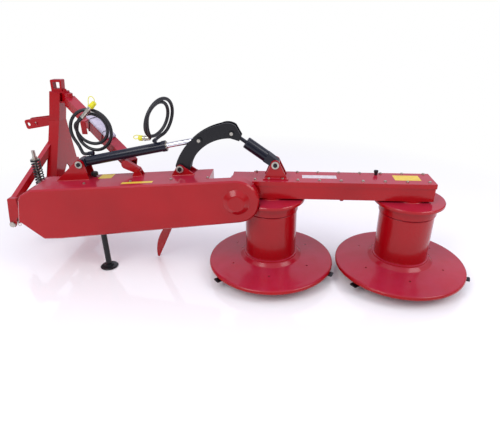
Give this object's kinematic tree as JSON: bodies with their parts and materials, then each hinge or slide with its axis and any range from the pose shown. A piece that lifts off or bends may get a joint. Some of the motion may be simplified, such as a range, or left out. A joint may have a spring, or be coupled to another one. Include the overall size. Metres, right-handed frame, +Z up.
{
  "type": "drum mower",
  "caption": "Rear mounted drum mower folded back beside its headstock, with a belt guard, lift cylinder, gear case, drums with dished discs and a folding stand.",
  "frame": {"origin": "on the ground, at the middle of the machine's plan as it is parked, hoses left out", "axes": "+X from the belt guard's free end towards the outer drum, +Y from the belt guard's face towards the back, +Z up"},
  "size_m": [3.0524, 1.4134, 1.146],
  "materials": {
    "red_paint": "gloss paint",
    "black_paint": "satin paint",
    "navy_paint": "gloss paint",
    "zinc_steel": "zinc plated",
    "chrome_rod": "hard chrome",
    "spring_steel": "oil blackened",
    "hose_rubber": "matt",
    "hose_cap": "moulded",
    "black_plastic": "moulded"
  },
  "bodies": {
    "frame": {"belt_guard": "red_paint", "arm_beam": "red_paint", "cylinder_clevis": "red_paint", "lift_clevis": "red_paint", "brace_clevis": "red_paint", "upper_brace": "red_paint", "swing_beam": "red_paint", "input_bearing": "black_paint", "stand_ears": "red_paint", "divider": "red_paint"},
    "headstock": {"tower": "red_paint", "mast": "red_paint", "top_link_plate_near": "red_paint", "top_link_plate_far": "red_paint", "cross_tube": "red_paint", "hitch_bracket_near": "red_paint", "hitch_bracket_far": "red_paint", "hitch_pin_near": "zinc_steel", "hitch_pin_far": "zinc_steel", "front_brace_near": "red_paint", "front_brace_far": "red_paint", "release_spring": "black_paint", "spring_rod": "zinc_steel", "spring_bracket": "red_paint"},
    "stand": {"stand_leg": "black_paint"},
    "input": {"input_shaft": "zinc_steel"},
    "cutter_bar": {"bar_housing": "red_paint", "bar_box": "red_paint", "bar_lid": "red_paint", "bar_clevis": "red_paint", "breather": "black_plastic", "drum_cap_inner": "red_paint", "drum_cap_outer": "red_paint"},
    "inner_drum": {"drum_inner": "red_paint", "blades_inner": "spring_steel"},
    "outer_drum": {"drum_outer": "red_paint", "blades_outer": "spring_steel"},
    "inner_skid": {"skid_inner": "black_paint"},
    "outer_skid": {"skid_outer": "black_paint"},
    "lift_arm": {"lift_arm": "black_paint"},
    "strut": {"strut": "navy_paint"},
    "cylinder": {"cylinder_barrel": "navy_paint", "hose_coil_a": "hose_rubber", "hose_coil_b": "hose_rubber", "hose_lead_a": "hose_rubber", "hose_coupler_a": "hose_cap", "hose_coupler_b": "hose_cap"},
    "rod": {"piston_rod": "chrome_rod"}
  },
  "joints": [
    {"name": "headstock_swing", "type": "hinge", "parent": "frame", "child": "headstock", "pos_m": [-1.19325, 0.22675, 0.376], "axis": [0, 0, 1], "range_deg": [-90, 0]},
    {"name": "stand_fold", "type": "hinge", "parent": "frame", "child": "stand", "pos_m": [-0.80325, -0.35925, 0.278], "axis": [0, -1, 0], "range_deg": [0, 85]},
    {"name": "bar_fold", "type": "hinge", "parent": "frame", "child": "cutter_bar", "pos_m": [0.09675, -0.30325, 0.555], "axis": [0, -1, 0], "range_deg": [-5, 60]},
    {"name": "lift_arm_turn", "type": "hinge", "parent": "frame", "child": "lift_arm", "pos_m": [-0.25625, -0.30325, 0.704], "axis": [0, -1, 0], "range_deg": [-5, 44]},
    {"name": "strut_turn", "type": "hinge", "parent": "lift_arm", "child": "strut", "pos_m": [0.05975, -0.30325, 0.918], "axis": [0, -1, 0], "range_deg": [-56, 6]},
    {"name": "barrel_tilt", "type": "hinge", "parent": "frame", "child": "cylinder", "pos_m": [-0.88125, -0.30325, 0.722], "axis": [0, -1, 0], "range_deg": [-1, 7]},
    {"name": "rod_slide", "type": "slide", "parent": "cylinder", "child": "rod", "axis": [0.9797, 0, 0.2004], "range_m": [-0.135, 0.013]},
    {"name": "drum_inner_spin", "type": "hinge", "parent": "cutter_bar", "child": "inner_drum", "pos_m": [0.29275, -0.30325, 0.3], "axis": [0, 0, 1], "continuous": true},
    {"name": "drum_outer_spin", "type": "hinge", "parent": "cutter_bar", "child": "outer_drum", "pos_m": [1.12275, -0.30325, 0.3], "axis": [0, 0, 1], "continuous": true},
    {"name": "input_spin", "type": "hinge", "parent": "frame", "child": "input", "pos_m": [-1.09325, -0.20325, 0.43], "axis": [0, 1, 0], "continuous": true},
    {"name": "skid_inner_spin", "type": "hinge", "parent": "cutter_bar", "child": "inner_skid", "pos_m": [0.29275, -0.30325, 0.03], "axis": [0, 0, 1], "continuous": true},
    {"name": "skid_outer_spin", "type": "hinge", "parent": "cutter_bar", "child": "outer_skid", "pos_m": [1.12275, -0.30325, 0.03], "axis": [0, 0, 1], "continuous": true}
  ],
  "couplings": [
    {"joint": "lift_arm_turn", "follows": "bar_fold", "ratio": 0.71},
    {"joint": "strut_turn", "follows": "bar_fold", "ratio": -0.91},
    {"joint": "barrel_tilt", "follows": "bar_fold", "ratio": 0.11},
    {"joint": "rod_slide", "follows": "bar_fold", "m_per_rad": -0.1238},
    {"joint": "drum_outer_spin", "follows": "drum_inner_spin", "ratio": -1},
    {"joint": "input_spin", "follows": "drum_inner_spin", "ratio": 0.306}
  ]
}
